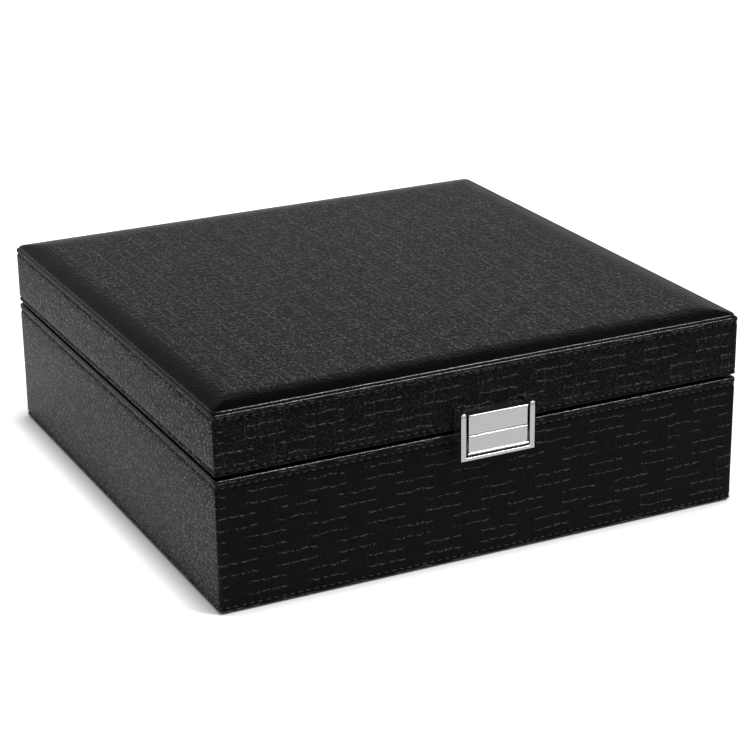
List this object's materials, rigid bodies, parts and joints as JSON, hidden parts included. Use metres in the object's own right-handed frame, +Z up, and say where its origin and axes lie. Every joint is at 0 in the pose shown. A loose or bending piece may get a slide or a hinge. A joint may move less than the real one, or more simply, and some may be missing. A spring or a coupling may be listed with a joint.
{
  "type": "jewellery box",
  "caption": "Square leatherette jewellery box with a padded hinged lid, a push-button clasp and a divided inner tray.",
  "frame": {"origin": "centre of the underside, on the surface that the box stands on", "axes": "+X to the box's right as seen from the front, +Y to the back with the hinges, +Z up"},
  "size_m": [0.27, 0.2851, 0.098],
  "materials": {
    "fibreboard": "raw medium-density fibreboard",
    "leatherette": "embossed black leatherette, low sheen",
    "foam": "thin soft foam",
    "velvet": "short pile grey velvet",
    "ring_velvet": "short pile grey velvet over foam",
    "felt": "thin black felt",
    "ribbon": "woven black ribbon",
    "mirror": "silvered glass",
    "frame_plastic": "matt black plastic",
    "clasp_metal": "satin plated front, polished sides",
    "steel": "plated steel"
  },
  "bodies": {
    "base": {"base_front_board": "fibreboard", "base_rear_board": "fibreboard", "base_left_board": "fibreboard", "base_right_board": "fibreboard", "base_floor_board": "fibreboard", "base_wrap": "leatherette", "underside_sheet": "felt", "base_lining": "velvet", "tray_ledge_left": "velvet", "tray_ledge_right": "velvet", "lower_long_divider": "velvet", "lower_cross_divider_left": "velvet", "lower_cross_divider_right": "velvet", "hinge_leaf_base_left": "steel", "hinge_leaf_base_right": "steel", "hinge_pins": "steel", "hinge_screws_base": "steel", "clasp_frame": "clasp_metal", "clasp_screws": "steel", "catch_spring": "steel", "button_springs": "steel"},
    "tray": {"tray_floor": "velvet", "tray_front_wall": "velvet", "tray_rear_wall": "velvet", "tray_left_wall": "velvet", "tray_right_wall": "velvet", "tray_long_divider": "velvet", "tray_front_divider": "velvet", "tray_rear_divider_left": "velvet", "tray_rear_divider_right": "velvet", "ring_roll_1": "ring_velvet", "ring_roll_2": "ring_velvet", "ring_roll_3": "ring_velvet", "ring_roll_4": "ring_velvet", "ring_roll_5": "ring_velvet", "tray_pull_left": "ribbon", "tray_pull_right": "ribbon"},
    "lid": {"lid_front_board": "fibreboard", "lid_rear_board": "fibreboard", "lid_left_board": "fibreboard", "lid_right_board": "fibreboard", "lid_top_board": "fibreboard", "lid_side_wrap": "leatherette", "lid_top_foam": "foam", "lid_top_cover": "leatherette", "lid_lining": "velvet", "lid_mirror": "mirror", "lid_mirror_frame": "frame_plastic", "hinge_leaf_lid_left": "steel", "hinge_leaf_lid_right": "steel", "hinge_screws_lid": "steel", "clasp_keeper": "clasp_metal", "keeper_tongue": "steel", "keeper_screws": "steel"},
    "button": {"clasp_button": "clasp_metal", "button_clips": "steel"}
  },
  "joints": [
    {"name": "lid_hinge", "type": "hinge", "parent": "base", "child": "lid", "pos_m": [0, 0.1376, 0.0648], "axis": [-1, 0, 0], "range_deg": [0, 95], "deforming": ["catch_spring"]},
    {"name": "tray_lift", "type": "slide", "parent": "base", "child": "tray", "axis": [0, 0, 1], "range_m": [0, 0.015]},
    {"name": "button_press", "type": "slide", "parent": "base", "child": "button", "axis": [0, 1, 0], "range_m": [0, 0.0015], "stiffness_N_per_m": 400, "springref_m": -0.002, "deforming": ["button_springs"]}
  ]
}
